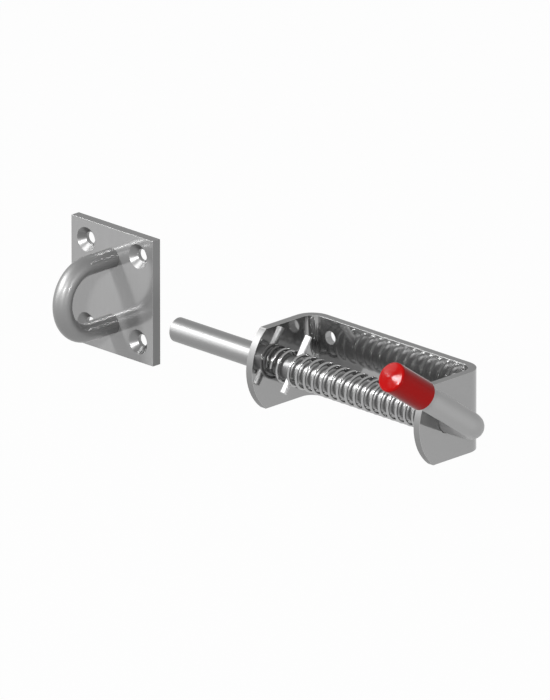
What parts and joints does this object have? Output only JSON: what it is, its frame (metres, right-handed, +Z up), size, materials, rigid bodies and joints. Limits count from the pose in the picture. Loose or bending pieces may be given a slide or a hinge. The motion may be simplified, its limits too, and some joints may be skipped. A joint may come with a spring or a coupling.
{
  "type": "spring loaded gate latch",
  "caption": "Sprung gate bolt: a round rod with a bent, capped handle slides in a folded bracket and shoots into a looped keeper plate.",
  "frame": {"origin": "middle of the bracket's flat mounting face, at the height of the bolt", "axes": "+Y into the gate, out of the back of the mounting face; +X along the bolt, away from the keeper; +Z up"},
  "size_m": [0.3027, 0.0907, 0.0822],
  "materials": {
    "steel_sheet": "polished stainless steel sheet",
    "steel_rod": "polished stainless steel bar",
    "spring_wire": "bright drawn spring wire",
    "red_plastic": "glossy red dipped vinyl"
  },
  "bodies": {
    "bracket": {"bracket": "steel_sheet", "keeper_plate": "steel_sheet", "keeper_staple": "steel_rod"},
    "spring": {"return_spring": "spring_wire"},
    "bolt": {"bolt": "steel_rod", "cross_pin": "steel_rod", "handle_cap": "red_plastic"}
  },
  "joints": [
    {"name": "handle_swivel", "type": "hinge", "parent": "bracket", "child": "spring", "pos_m": [0, -0.025, 0], "axis": [1, 0, 0], "range_deg": [-67, 137]},
    {"name": "bolt_draw", "type": "slide", "parent": "spring", "child": "bolt", "axis": [1, 0, 0], "range_m": [0, 0.06], "stiffness_N_per_m": 830, "springref_m": -0.012, "deforming": ["return_spring"]}
  ]
}
